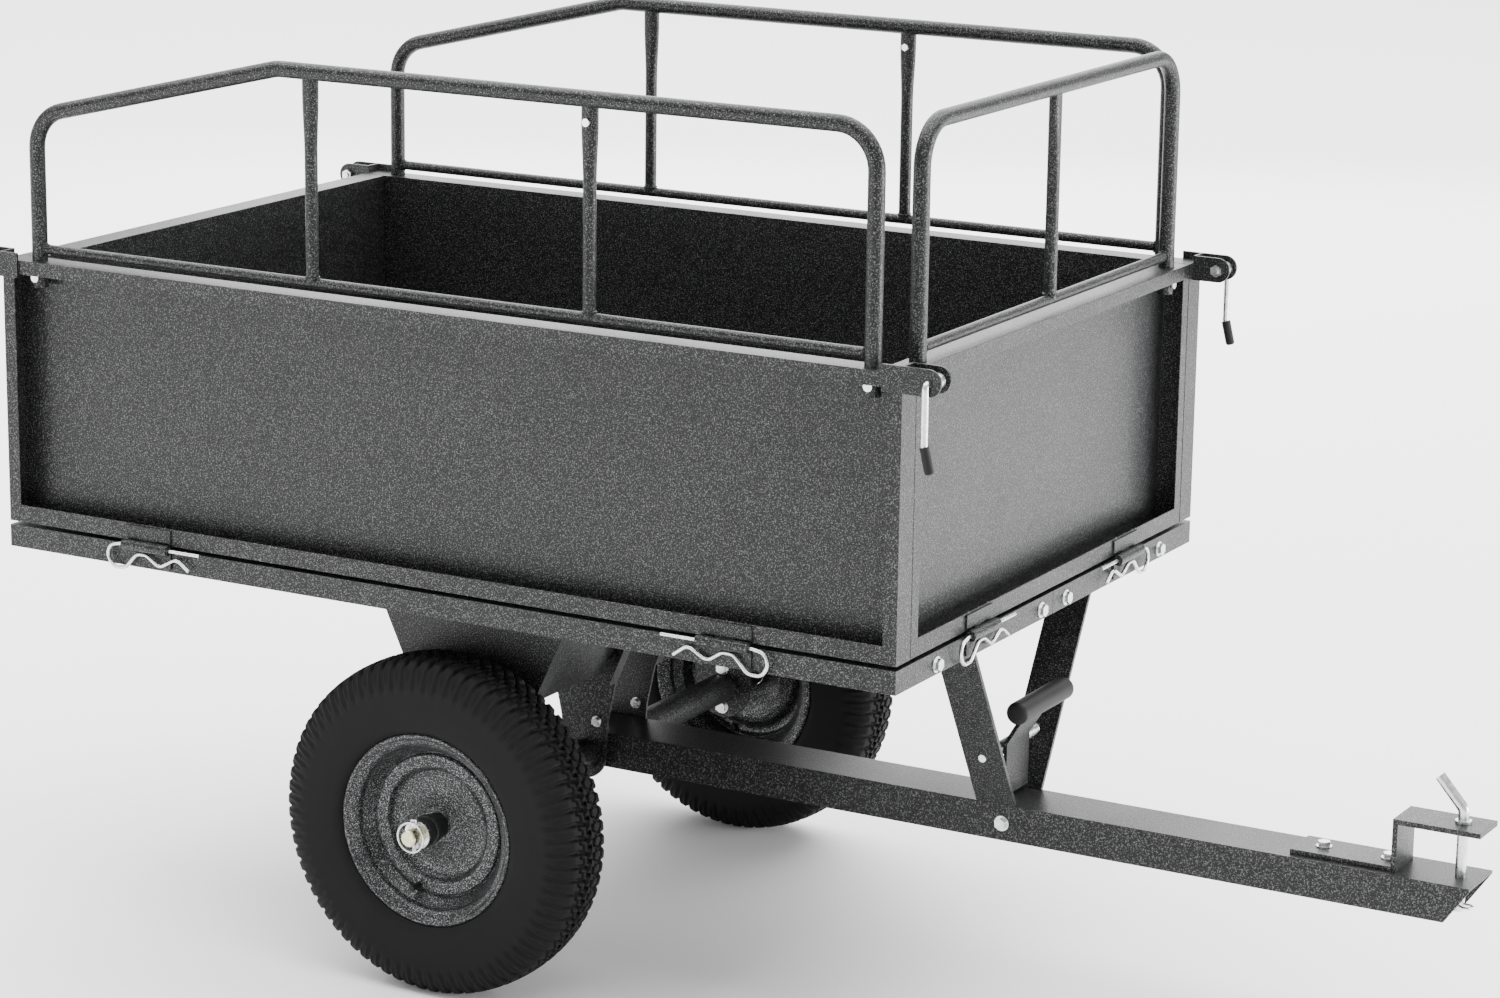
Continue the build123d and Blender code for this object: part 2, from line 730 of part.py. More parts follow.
def hub():
    """The hub tube with a bush ring at each end; it turns on the axle."""
    tube = Cylinder(hub_r, 2 * hub_half)
    for side in (-1, 1):
        tube += Pos(0, 0, side * (hub_half - 5)) * Cylinder(hub_r + 2.0, 10)
    tube -= Cylinder(axle_r + run_clear, 2 * hub_half + 2)
    return Pos(axle_x, wheel_y, axle_z) * Rot(90, 0, 0) * tube


# ---------------------------------------------------------------- tongue and hitch
def tongue():
    """The tongue: an inverted channel, cut back at the tip, with a pivot bush across its rear."""
    x0 = axle_x - tongue_back
    x1 = tongue_tip_x
    outer = block(x0, x1, -half_tongue, half_tongue, tongue_bottom, tongue_top)
    t = tongue_wall
    outer -= block(x0 - 1, x1 + 1, -half_tongue + t, half_tongue - t, tongue_bottom - 1, tongue_top - t)
    drop = tongue_height - t
    notch = [(x1 + 1, tongue_bottom - 1), (x1 - 0.72 * drop, tongue_bottom - 1),
             (x1 + 0.01, tongue_top - t), (x1 + 1, tongue_top - t)]
    outer -= side_plate(notch, -half_tongue - 1, half_tongue + 1)
    bush = bar((axle_x, -half_tongue, axle_z), (axle_x, half_tongue, axle_z), 15.0)
    part = outer + bush
    part -= bore((axle_x, 0, axle_z), (0, 1, 0), 200, axle_r + run_clear)
    for x in hitch_bolt_xs():
        part -= bore((x, 0, tongue_top), (0, 0, 1), 30)
    part -= bore((hitch_pin_x(), 0, tongue_top), (0, 0, 1), 30, hitch_pin_r + run_clear)
    part -= bore((side_bolt_x(), 0, side_bolt_z()), (0, 1, 0), 200)
    return part


def side_bolt_x():
    """Where the striker's bolt crosses the tongue."""
    return strut_back + 34.0


def side_bolt_z():
    """Height of the striker's bolt."""
    return tongue_top - 23.0


def hitch_bolt_xs():
    """The two bolts that hold the hitch bracket."""
    return (1556.0, 1634.0)


def hitch_pin_x():
    """Where the hitch pin drops through bracket and tongue."""
    return 1718.0


def hitch_bracket():
    """The Z-shaped hitch bracket: foot on the tongue, web, and top plate over the tip."""
    t = 6.0
    top = tongue_top + 62.0
    outline = [(1526, tongue_top), (1652, tongue_top), (1652, top - t), (tongue_tip_x + 6, top - t)]
    outline += [(tongue_tip_x + 6, top), (1646, top), (1646, tongue_top + t), (1526, tongue_top + t)]
    part = side_plate(outline, -28, 28)
    for x in hitch_bolt_xs():
        part -= bore((x, 0, tongue_top), (0, 0, 1), 30)
    part -= bore((hitch_pin_x(), 0, top), (0, 0, 1), 30, hitch_pin_r + run_clear)
    return part


def hitch_bolts():
    """Two bolts down through bracket and tongue."""
    grip = 6.0 + tongue_wall
    return group([bolt((x, 0, tongue_top + 6), (0, 0, -1), grip) for x in hitch_bolt_xs()])


def tongue_bolt():
    """The long bolt across the tongue that holds the striker block."""
    return bolt((side_bolt_x(), -half_tongue, side_bolt_z()), (0, 1, 0), tongue_width)


def latch_striker():
    """The catch for the pedal: a block inside the tongue with a nose above its top."""
    x = side_bolt_x()
    t = tongue_wall
    part = block(x - 14, x + 14, -half_tongue + t, half_tongue - t, side_bolt_z() - 14, tongue_top - t)
    part -= bore((x, 0, side_bolt_z()), (0, 1, 0), 200)
    return part


def hitch_pin():
    """The hitch pin, with a bent handle and a cross hole for its clip."""
    x = hitch_pin_x()
    top = tongue_top + 62.0
    points = [(x, 0, tongue_bottom + 4), (x, 0, top + 16), (x - 30, 0, top + 50)]
    part = bent_bar(points, 12.0, hitch_pin_r)
    collar = bar((x, 0, top + part_clear), (x, 0, top + 3.4), hitch_pin_r + 3.0)
    part += collar
    return part - bore((x, 0, clip_z()), (1, 0, 0), 40, 1.5 + run_clear)


def clip_z():
    """Height of the hitch pin's clip."""
    return tongue_bottom + 12.0


def hitch_clip():
    """The small hairpin clip through the hitch pin's lower end."""
    x = hitch_pin_x()
    z = clip_z()
    points = [(x - 17, 0, z), (x + 13, 0, z), (x + 19, -5, z), (x + 15, -12, z), (x + 9, -12, z)]
    points += [(x + 3, -8.4, z), (x - 3, -8.4, z), (x - 9, -11, z), (x - 14, -9.4, z)]
    return bent_bar(points, 1.6, 1.5)


# ---------------------------------------------------------------- foot pedal
def pedal():
    """The foot pedal: a bent plate with a sleeve round the pivot pin and a top rod."""
    face = pedal_x + 5.0
    t = 4.0
    low = tongue_top + 8.0
    bend = pedal_z + 6.0
    top_x = pedal_x + 36.0
    top_z = pedal_z + 56.0
    outline = [(face, low), (face + t, low), (face + t, bend), (top_x + 2, top_z - 3),
               (top_x - 2, top_z + 1), (face, bend + 2)]
    part = side_plate(outline, -pedal_half, pedal_half)
    part += bar((pedal_x, -pedal_half, pedal_z), (pedal_x, pedal_half, pedal_z), 8.0)
    part += bar((top_x, -60, top_z), (top_x, 60, top_z), 5.0)
    part -= bar((pedal_x, -40, pedal_z), (pedal_x, 40, pedal_z), pedal_pin_r + run_clear)
    return part


def pedal_grip():
    """The rubber grip on the pedal's top rod, split where the plate holds the rod."""
    x = pedal_x + 36.0
    z = pedal_z + 56.0
    grip = bar((x, -67, z), (x, 67, z), 13.5)
    grip = fillet(grip.edges().filter_by(GeomType.CIRCLE), 6.0)
    return grip - pedal()


# ---------------------------------------------------------------- assembly
def assembly():
    """Every node by name."""
    nodes = {}
    nodes["tongue"] = tongue()
    nodes["hitch_bracket"] = hitch_bracket()
    nodes["hitch_bolts"] = hitch_bolts()
    nodes["tongue_bolt"] = tongue_bolt()
    nodes["latch_striker"] = latch_striker()
    nodes["hitch_pin"] = hitch_pin()
    nodes["hitch_clip"] = hitch_clip()
    for name, shape in (("floor", floor_half()), ("axle_bracket", axle_bracket()),
                        ("pivot_bracket", pivot_bracket()), ("saddle", saddle()), ("strut", strut()),
                        ("tyre", tyre()), ("rim", rim()), ("hub", hub()), ("valve", valve())):
        nodes[name + "_left"] = shape
        nodes[name + "_right"] = mirrored(shape)
    nodes["axle"] = axle()
    nodes["axle_tubes"] = axle_tubes()
    nodes["axle_washers"] = axle_washers()
    nodes["linch_pins"] = linch_pins()
    nodes["bed_bolts"] = bed_bolts()
    nodes["hinge_leaves_fixed"] = group([at_hinge(fixed_leaf(), p) for p in hinge_places()])
    nodes["hinge_clips"] = group([at_hinge(r_clip(), p) for p in hinge_places()])
    nodes["pedal_pin"] = pedal_pin()
    nodes["pedal_spring"] = pedal_spring()
    nodes["pedal"] = pedal()
    nodes["pedal_grip"] = pedal_grip()
    brackets = group([latch_bracket(), to_rear(latch_bracket())])
    for name, shape in (("side_panel", side_panel()), ("side_guard", side_guard()),
                        ("side_guard_screws", side_guard_screws()), ("latch_brackets", brackets)):
        nodes[name + "_right"] = shape
        nodes[name + "_left"] = mirrored(shape)
    nodes["side_leaves_right"] = leaves_of(0)
    nodes["side_leaves_left"] = leaves_of(180)
    nodes["front_panel"] = front_panel()
    nodes["front_guard"] = front_guard()
    nodes["front_guard_screws"] = front_guard_screws()
    nodes["front_leaves"] = leaves_of(90)
    nodes["rear_panel"] = rear_panel()
    nodes["rear_leaves"] = leaves_of(-90)
    for name, shape in (("latch_lever", latch_lever()), ("latch_grip", latch_grip())):
        nodes[name + "_front_right"] = shape
        nodes[name + "_front_left"] = mirrored(shape)
        nodes[name + "_rear_right"] = to_rear(shape)
        nodes[name + "_rear_left"] = mirrored(to_rear(shape))
    return nodes


def main():
    """Centre the cart on x and write one STEP file per node."""
    os.makedirs("parts", exist_ok=True)
    nodes = assembly()
    boxes = [shape.bounding_box() for shape in nodes.values()]
    middle = (min(b.min.X for b in boxes) + max(b.max.X for b in boxes)) / 2
    for name, shape in nodes.items():
        export_step(Pos(-middle, 0, 0) * shape, f"parts/{name}.step")
    print(len(nodes), "nodes, moved by", round(-middle, 3))


main()
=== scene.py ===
# %% [markdown]
# # A tow behind cart, dressed for its portrait
# The working model already has the right sizes and joints. This lesson loads it as a fixed frame, gives
# every surface a finish, and swaps the plain stand-ins for detailed pieces: tyres with a real tread,
# pressed rims, bent tubes, wire clips and rounded sheet edges. Lengths are in metres, +X points to the
# hitch, +Y to the cart's left and +Z up.

# %% Load the frame
import bpy, bmesh, json, math
import numpy as np
from mathutils import Matrix, Vector

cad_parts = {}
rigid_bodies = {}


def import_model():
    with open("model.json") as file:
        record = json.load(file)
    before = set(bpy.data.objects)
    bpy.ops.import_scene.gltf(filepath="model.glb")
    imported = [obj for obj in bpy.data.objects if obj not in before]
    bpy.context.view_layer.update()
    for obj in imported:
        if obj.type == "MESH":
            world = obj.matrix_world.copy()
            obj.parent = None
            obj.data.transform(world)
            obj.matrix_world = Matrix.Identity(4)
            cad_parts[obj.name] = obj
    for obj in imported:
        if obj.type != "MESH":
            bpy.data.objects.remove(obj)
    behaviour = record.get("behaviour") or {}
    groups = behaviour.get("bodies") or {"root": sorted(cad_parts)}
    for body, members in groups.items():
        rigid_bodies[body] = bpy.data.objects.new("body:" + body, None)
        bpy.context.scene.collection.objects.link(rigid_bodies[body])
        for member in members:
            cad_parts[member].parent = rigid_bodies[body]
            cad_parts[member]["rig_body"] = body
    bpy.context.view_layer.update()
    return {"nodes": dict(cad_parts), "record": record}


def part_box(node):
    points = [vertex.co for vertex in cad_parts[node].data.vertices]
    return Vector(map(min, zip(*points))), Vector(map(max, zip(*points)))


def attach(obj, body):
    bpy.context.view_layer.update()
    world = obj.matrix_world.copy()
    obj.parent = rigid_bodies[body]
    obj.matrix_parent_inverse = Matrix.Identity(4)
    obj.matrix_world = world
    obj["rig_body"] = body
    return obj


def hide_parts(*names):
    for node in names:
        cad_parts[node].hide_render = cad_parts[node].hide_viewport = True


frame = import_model()
nodes = frame["nodes"]
MM = 0.001

# %% [markdown]
# ## Where things are
# The measures below come from the boxes of the loaded parts, so a piece made here always lands on the
# part it stands for. Reading them once keeps the later cells short.

# %% Places taken from the frame
def corners(node):
    """Lowest and highest corner of a part as numpy arrays."""
    low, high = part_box(node)
    return np.array(low), np.array(high)

def middle(node):
    """Centre of a part's box."""
    low, high = corners(node)
    return (low + high) / 2

AXLE_X = float(middle("axle")[0])
AXLE_Z = float(middle("axle")[2])
WHEEL_Y = float(middle("tyre_left")[1])
TYRE_R = float(corners("tyre_left")[1][2] - AXLE_Z)
SIDE = {"left": 1.0, "right": -1.0}
print("axle", AXLE_X, AXLE_Z, "wheel", WHEEL_Y, TYRE_R)

# %% [markdown]
# ## Mesh helpers
# A surface is a grid of points worked out with numpy: one array for the whole shape, then one call to put
# it into a mesh. That is quick, and the formula stays readable. The same few helpers make turned parts
# (lathe), bent tubes (sweep) and closed blocks.

# %% Grid and mesh helpers
def grid(points, wrap_u=False, wrap_v=False, flip=False):
    """Faces of a grid of points (u, v, 3): each face joins a point to its next neighbours."""
    nu, nv = points.shape[:2]
    u = np.arange(nu if wrap_u else nu - 1)[:, None]
    v = np.arange(nv if wrap_v else nv - 1)[None, :]
    u1, v1 = (u + 1) % nu, (v + 1) % nv
    quads = np.stack([u * nv + v, u1 * nv + v, u1 * nv + v1, u * nv + v1], -1).reshape(-1, 4)
    return points.reshape(-1, 3), (quads[:, ::-1] if flip else quads)

def rounded(points, radius, steps=6):
    """Polyline with an arc at each corner, swung about the point where both tangents' normals meet."""
    p = np.array(points, float)
    a, b, c = p[:-2], p[1:-1], p[2:]
    la, lc = np.linalg.norm(a - b, axis=1)[:, None], np.linalg.norm(c - b, axis=1)[:, None]
    ua, uc = (a - b) / la, (c - b) / lc
    middle_way = ua + uc
    half = np.clip(np.linalg.norm(middle_way, axis=1)[:, None] / 2, 1e-5, 1 - 1e-6)
    cut = np.minimum(radius / np.tan(np.arccos(half)), 0.49 * np.minimum(la, lc))
    centre = b + middle_way / (2 * half) * (cut / half)
    turn = (np.pi - 2 * np.arccos(half))[:, None]
    s = np.linspace(0, 1, steps)[None, :, None]
    start, end = (b + ua * cut - centre)[:, None], (b + uc * cut - centre)[:, None]
    arc = centre[:, None] + (np.sin((1 - s) * turn) * start + np.sin(s * turn) * end) / np.sin(turn)
    return np.concatenate([p[:1], arc.reshape(-1, p.shape[1]), p[-1:]])

def tube(path, radius, sides=20, across=(0, 0, 1), cap=True):
    """Sweep of a circle: point = path + radius (cos a * side + sin a * up), frames held by one direction."""
    path = np.array(path, float)
    t = np.gradient(path, axis=0)
    t /= np.linalg.norm(t, axis=1)[:, None]
    side = np.cross(t, np.array(across, float))
    side /= np.linalg.norm(side, axis=1)[:, None]
    up = np.cross(side, t)
    a = np.linspace(0, 2 * np.pi, sides, endpoint=False)
    r = np.broadcast_to(np.asarray(radius, float), len(path))[:, None, None]
    ring = np.cos(a)[None, :, None] * side[:, None] + np.sin(a)[None, :, None] * up[:, None]
    points = path[:, None] + r * ring
    verts, faces = grid(points, wrap_v=True, flip=True)
    faces = [tuple(f) for f in faces]
    if cap:
        last = len(verts) - sides
        faces += [tuple(range(sides)), tuple(range(last + sides - 1, last - 1, -1))]
    return verts, faces

def lathe(profile, centre, steps=96, closed=False):
    """Turned shape about the y line through centre: point = (r cos a, y, r sin a)."""
    profile = np.array(profile, float)
    a = np.linspace(0, 2 * np.pi, steps, endpoint=False)[None, :]
    r, y = profile[:, :1], profile[:, 1:]
    points = np.stack([r * np.cos(a), np.broadcast_to(y, (len(profile), steps)), r * np.sin(a)], -1)
    return grid(points + np.array(centre), wrap_u=closed, wrap_v=True)

print("helpers ready")

# %% Joining surfaces into one piece
def piece(name, parts, material, body, stands_for=(), angle=35):
    """One object from several (vertices, faces) parts, smooth but creased where it turns sharply."""
    verts, faces, base = [], [], 0
    for v, f in parts:
        verts.append(np.asarray(v, float))
        faces += [tuple(int(i) + base for i in face) for face in f]
        base += len(v)
    mesh = bpy.data.meshes.new(name)
    mesh.from_pydata(np.concatenate(verts).tolist(), [], faces)
    mesh.validate()
    tidy = bmesh.new()
    tidy.from_mesh(mesh)
    bmesh.ops.remove_doubles(tidy, verts=tidy.verts, dist=1e-6)
    bmesh.ops.recalc_face_normals(tidy, faces=tidy.faces)
    tidy.to_mesh(mesh)
    tidy.free()
    mesh.polygons.foreach_set("use_smooth", [True] * len(mesh.polygons))
    mesh.set_sharp_from_angle(angle=math.radians(angle))
    obj = bpy.data.objects.new(name, mesh)
    bpy.context.scene.collection.objects.link(obj)
    mesh.materials.append(material)
    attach(obj, body)
    if stands_for:
        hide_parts(*stands_for)
    return obj

BODY_OF = {n: o["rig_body"] for n, o in nodes.items()}

def softened(node, material, width=0.7, angle=32, segments=2):
    """A copy of a flat-sided part with its edges rounded off, as a folded or sheared sheet has."""
    mesh = nodes[node].data.copy()
    work = bmesh.new()
    work.from_mesh(mesh)
    bmesh.ops.remove_doubles(work, verts=work.verts, dist=1e-6)
    bmesh.ops.dissolve_limit(work, angle_limit=math.radians(1.0), verts=work.verts, edges=work.edges)
    work.to_mesh(mesh)
    work.free()
    mesh.materials.clear()
    mesh.materials.append(material)
    obj = bpy.data.objects.new(node + "_soft", mesh)
    bpy.context.scene.collection.objects.link(obj)
    edge = obj.modifiers.new("rounded_edges", "BEVEL")
    edge.width, edge.segments = width * MM, segments
    edge.limit_method, edge.angle_limit = "ANGLE", math.radians(angle)
    edge.harden_normals = True
    edge.use_clamp_overlap = True
    mesh.polygons.foreach_set("use_smooth", [True] * len(mesh.polygons))
    mesh.set_sharp_from_angle(angle=math.radians(28))
    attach(obj, BODY_OF[node])
    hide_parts(node)
    return obj

print("piece makers ready")

# %% [markdown]
# ## Finishes
# The whole cart is powder coated with a hammered charcoal paint: little pools a few millimetres wide,
# with lighter flecks between them. One node group makes that pattern for every painted part; each
# material then places it with its own size and depth. Bright parts are zinc plated, and tyres and grips
# are black rubber.

# %% Node group: hammered pattern
def new_group(name, inputs, outputs):
    """An empty shader node group with named sockets."""
    g = bpy.data.node_groups.new(name, "ShaderNodeTree")
    for label, kind, value in inputs:
        s = g.interface.new_socket(label, in_out="INPUT", socket_type=kind)
        if value is not None:
            s.default_value = value
    for label, kind in outputs:
        g.interface.new_socket(label, in_out="OUTPUT", socket_type=kind)
    return g, g.nodes.new("NodeGroupInput"), g.nodes.new("NodeGroupOutput")

def node(tree, kind, **values):
    """A node with some of its settings or input values filled in."""
    n = tree.nodes.new(kind)
    for key, value in values.items():
        if hasattr(n, key):
            setattr(n, key, value)
        else:
            n.inputs[key].default_value = value
    return n

hammer, h_in, h_out = new_group("hammered_pattern",
    [("Vector", "NodeSocketVector", None), ("Pools per metre", "NodeSocketFloat", 420.0),
     ("Fleck", "NodeSocketFloat", 0.5)],
    [("Height", "NodeSocketFloat"), ("Flecks", "NodeSocketFloat"), ("Cloud", "NodeSocketFloat")])
link = hammer.links.new
pools = node(hammer, "ShaderNodeTexVoronoi", feature="SMOOTH_F1")
pools.inputs["Smoothness"].default_value = 0.7
warp = node(hammer, "ShaderNodeTexNoise")
warp.inputs["Scale"].default_value = 170.0
warp.inputs["Detail"].default_value = 2.0
shift = node(hammer, "ShaderNodeVectorMath", operation="MULTIPLY_ADD")
shift.inputs[1].default_value = (0.0035, 0.0035, 0.0035)
link(h_in.outputs["Vector"], warp.inputs["Vector"])
link(warp.outputs["Color"], shift.inputs[0])
link(h_in.outputs["Vector"], shift.inputs[2])
link(shift.outputs[0], pools.inputs["Vector"])
link(h_in.outputs["Pools per metre"], pools.inputs["Scale"])
link(pools.outputs["Distance"], h_out.inputs["Height"])
grains = node(hammer, "ShaderNodeTexNoise")
grains.inputs["Detail"].default_value = 3.0
grains.inputs["Roughness"].default_value = 0.65
grain_scale = node(hammer, "ShaderNodeMath", operation="MULTIPLY")
grain_scale.inputs[1].default_value = 1.15
link(h_in.outputs["Pools per metre"], grain_scale.inputs[0])
link(grain_scale.outputs[0], grains.inputs["Scale"])
link(h_in.outputs["Vector"], grains.inputs["Vector"])
pick = node(hammer, "ShaderNodeMapRange", interpolation_type="SMOOTHSTEP")
pick.inputs["From Min"].default_value = 0.52
pick.inputs["From Max"].default_value = 0.65
strength = node(hammer, "ShaderNodeMath", operation="MULTIPLY")
link(grains.outputs["Fac"], pick.inputs["Value"])
link(pick.outputs[0], strength.inputs[0])
link(h_in.outputs["Fleck"], strength.inputs[1])
link(strength.outputs[0], h_out.inputs["Flecks"])
cloud = node(hammer, "ShaderNodeTexNoise")
cloud.inputs["Scale"].default_value = 9.0
link(h_in.outputs["Vector"], cloud.inputs["Vector"])
link(cloud.outputs["Fac"], h_out.inputs["Cloud"])
print("group", hammer.name)

# %% Painted finish
def ramp(tree, low, high, dark, light):
    """A colour ramp with two stops."""
    r = tree.nodes.new("ShaderNodeValToRGB")
    r.color_ramp.elements[0].position, r.color_ramp.elements[1].position = low, high
    r.color_ramp.elements[0].color, r.color_ramp.elements[1].color = (*dark, 1), (*light, 1)
    return r

def painted(name, pools_per_metre, fleck, depth, dark, light, rough, metallic=0.35):
    """Hammered powder coat: dark ground, lighter flecks, pooled surface."""
    m = bpy.data.materials.new(name)
    m.use_nodes = True
    t = m.node_tree
    shader = t.nodes["Principled BSDF"]
    coords = node(t, "ShaderNodeTexCoord")
    pattern = node(t, "ShaderNodeGroup", node_tree=hammer)
    pattern.inputs["Pools per metre"].default_value = pools_per_metre
    pattern.inputs["Fleck"].default_value = fleck
    t.links.new(coords.outputs["Object"], pattern.inputs["Vector"])
    colours = ramp(t, 0.0, 1.0, dark, light)
    t.links.new(pattern.outputs["Flecks"], colours.inputs["Fac"])
    t.links.new(colours.outputs["Color"], shader.inputs["Base Color"])
    gloss = node(t, "ShaderNodeMapRange")
    gloss.inputs["To Min"].default_value, gloss.inputs["To Max"].default_value = rough - 0.05, rough + 0.07
    t.links.new(pattern.outputs["Cloud"], gloss.inputs["Value"])
    t.links.new(gloss.outputs[0], shader.inputs["Roughness"])
    bump = node(t, "ShaderNodeBump")
    bump.inputs["Strength"].default_value = depth
    bump.inputs["Distance"].default_value = 0.0006
    t.links.new(pattern.outputs["Height"], bump.inputs["Height"])
    t.links.new(bump.outputs["Normal"], shader.inputs["Normal"])
    shader.inputs["Metallic"].default_value = metallic
    shader.inputs["Coat Weight"].default_value = 0.1
    shader.inputs["Specular IOR Level"].default_value = 0.24
    shader.inputs["Coat Roughness"].default_value = 0.22
    return m

COAT = painted("hammered_charcoal_coat", pools_per_metre=540.0, fleck=1.0, depth=0.6,
               dark=(0.006, 0.0062, 0.0066), light=(0.125, 0.127, 0.13), rough=0.42, metallic=0.25)
RIM_COAT = painted("hammered_rim_coat", pools_per_metre=620.0, fleck=1.0, depth=0.55,
                   dark=(0.013, 0.0134, 0.014), light=(0.27, 0.274, 0.28), rough=0.34, metallic=0.55)
SMOOTH_COAT = painted("fine_black_coat", pools_per_metre=700.0, fleck=0.35, depth=0.4,
                      dark=(0.014, 0.0145, 0.015), light=(0.06, 0.061, 0.063), rough=0.38)
print("paints", COAT.name, RIM_COAT.name, SMOOTH_COAT.name)

# %% Zinc, rubber and tyre finishes
def plated(name, dull, bright):
    """Zinc plate: bright metal, faintly clouded, with fine crystals in its roughness."""
    m = bpy.data.materials.new(name)
    m.use_nodes = True
    t = m.node_tree
    shader = t.nodes["Principled BSDF"]
    coords = node(t, "ShaderNodeTexCoord")
    haze = node(t, "ShaderNodeTexNoise")
    haze.inputs["Scale"].default_value = 160.0
    haze.inputs["Detail"].default_value = 4.0
    t.links.new(coords.outputs["Object"], haze.inputs["Vector"])
    colours = ramp(t, 0.35, 0.7, dull, bright)
    t.links.new(haze.outputs["Fac"], colours.inputs["Fac"])
    t.links.new(colours.outputs["Color"], shader.inputs["Base Color"])
    gloss = node(t, "ShaderNodeMapRange")
    gloss.inputs["To Min"].default_value, gloss.inputs["To Max"].default_value = 0.18, 0.36
    t.links.new(haze.outputs["Fac"], gloss.inputs["Value"])
    t.links.new(gloss.outputs[0], shader.inputs["Roughness"])
    shader.inputs["Metallic"].default_value = 1.0
    return m

def rubber(name, tone, rough, grain_scale, depth):
    """Black rubber: almost even colour, with moulding grain and a chalky bloom in patches."""
    m = bpy.data.materials.new(name)
    m.use_nodes = True
    t = m.node_tree
    shader = t.nodes["Principled BSDF"]
    coords = node(t, "ShaderNodeTexCoord")
    bloom = node(t, "ShaderNodeTexNoise")
    bloom.inputs["Scale"].default_value = 26.0
    bloom.inputs["Detail"].default_value = 5.0
    grain = node(t, "ShaderNodeTexNoise")
    grain.inputs["Scale"].default_value = grain_scale
    t.links.new(coords.outputs["Object"], bloom.inputs["Vector"])
    t.links.new(coords.outputs["Object"], grain.inputs["Vector"])
    colours = ramp(t, 0.35, 0.75, (tone, tone, tone * 1.03), (tone * 1.9, tone * 1.9, tone * 1.92))
    t.links.new(bloom.outputs["Fac"], colours.inputs["Fac"])
    t.links.new(colours.outputs["Color"], shader.inputs["Base Color"])
    gloss = node(t, "ShaderNodeMapRange")
    gloss.inputs["To Min"].default_value, gloss.inputs["To Max"].default_value = rough - 0.06, rough + 0.1
    t.links.new(bloom.outputs["Fac"], gloss.inputs["Value"])
    t.links.new(gloss.outputs[0], shader.inputs["Roughness"])
    bump = node(t, "ShaderNodeBump")
    bump.inputs["Strength"].default_value = depth
    bump.inputs["Distance"].default_value = 0.0003
    t.links.new(grain.outputs["Fac"], bump.inputs["Height"])
    t.links.new(bump.outputs["Normal"], shader.inputs["Normal"])
    shader.inputs["Specular IOR Level"].default_value = 0.16
    return m

ZINC = plated("bright_zinc", (0.56, 0.57, 0.58), (0.80, 0.81, 0.80))
YELLOW_ZINC = plated("yellow_zinc", (0.50, 0.47, 0.30), (0.70, 0.67, 0.46))
TYRE = rubber("tyre_rubber", tone=0.0028, rough=0.7, grain_scale=900.0, depth=0.25)
GRIP = rubber("dipped_grip_rubber", tone=0.009, rough=0.5, grain_scale=1300.0, depth=0.35)
print("bright and black finishes ready")

# %% [markdown]
# ## Give every loaded part its finish
# The parts come in with one plain material per slot. Assigning to the slot keeps the mesh untouched.

# %% Finishes on the loaded parts
FINISH = {"hammered_coat": COAT, "rim_coat": RIM_COAT, "zinc": ZINC, "tyre": TYRE, "grip_rubber": GRIP}
SLOT_OF = {s["node"]: s["material_slot"] for s in frame["record"]["subparts"]}
for name, obj in nodes.items():
    for holder in obj.material_slots:
        holder.material = FINISH[SLOT_OF[name]]
for holder in nodes["axle"].material_slots:
    holder.material = YELLOW_ZINC
print("painted", len(SLOT_OF), "parts")

# %% [markdown]
# ## Folded and sheared sheet parts
# A razor-sharp edge never catches the light, while real folded sheet and flat bar show a thin bright line
# along every edge. A copy of each flat-sided part gets a small Bevel modifier and stands for the original.

# %% Rounded sheet parts
SHEET = {"side_panel_left": 1.1, "side_panel_right": 1.1, "front_panel": 1.1, "rear_panel": 1.1,
         "floor_left": 1.0, "floor_right": 1.0, "tongue": 1.6, "hitch_bracket": 1.4, "strut_left": 1.2,
         "strut_right": 1.2, "axle_bracket_left": 1.0, "axle_bracket_right": 1.0,
         "pivot_bracket_left": 1.0, "pivot_bracket_right": 1.0, "saddle_left": 0.6, "saddle_right": 0.6,
         "latch_brackets_left": 0.7, "latch_brackets_right": 0.7, "pedal": 0.8, "latch_striker": 0.8,
         "hinge_leaves_fixed": 0.5, "side_leaves_left": 0.5, "side_leaves_right": 0.5,
         "front_leaves": 0.5, "rear_leaves": 0.5}
for name, width in SHEET.items():
    softened(name, COAT, width)
print("rounded", len(SHEET), "sheet parts")

# %% [markdown]
# ## Tyres
# The tyre is a 16 inch block-tread garden tyre. Its section is a rounded curve, and the tread is worked
# into the same grid: the radius drops wherever a groove runs. Zigzag grooves split the crown into rows,
# cross grooves split each row into blocks, and thin radial sipes run down the shoulder.

# %% Tyre section and tread
def tyre_section():
    """Closed section (r, y) in metres: bead, sidewall, shoulder and crown, mirrored about its middle."""
    half = np.array([(101, 33.6), (105.5, 37.2), (114.6, 37.4), (117.5, 42.0), (121, 44.4), (128, 46.2),
                     (140, 47.4), (152, 47.8), (164, 47.5), (169, 47.0), (173, 46.4), (178, 45.4),
                     (183, 44.0), (187, 42.4), (191, 40.2), (194.5, 37.4), (197.4, 34.6)])
    crown_y = np.linspace(32.2, -32.2, 50)
    crown = np.stack([203.0 - 3.4 * (np.abs(crown_y) / 32.2) ** 2.4, crown_y], 1)
    section = np.concatenate([half, crown, half[::-1] * (1, -1)])
    section[:, 0] *= TYRE_R / 203.0 / MM
    return section * MM

def zig(x):
    """A flattened zigzag wave between -1 and 1."""
    return np.clip(np.sin(2 * np.pi * x) * 2.4, -1, 1)

def near(x, width):
    """1 on a line at every whole number of x, falling to 0 beyond its width."""
    d = np.abs(x - np.round(x))
    return np.clip(1.7 - d / width, 0, 1)

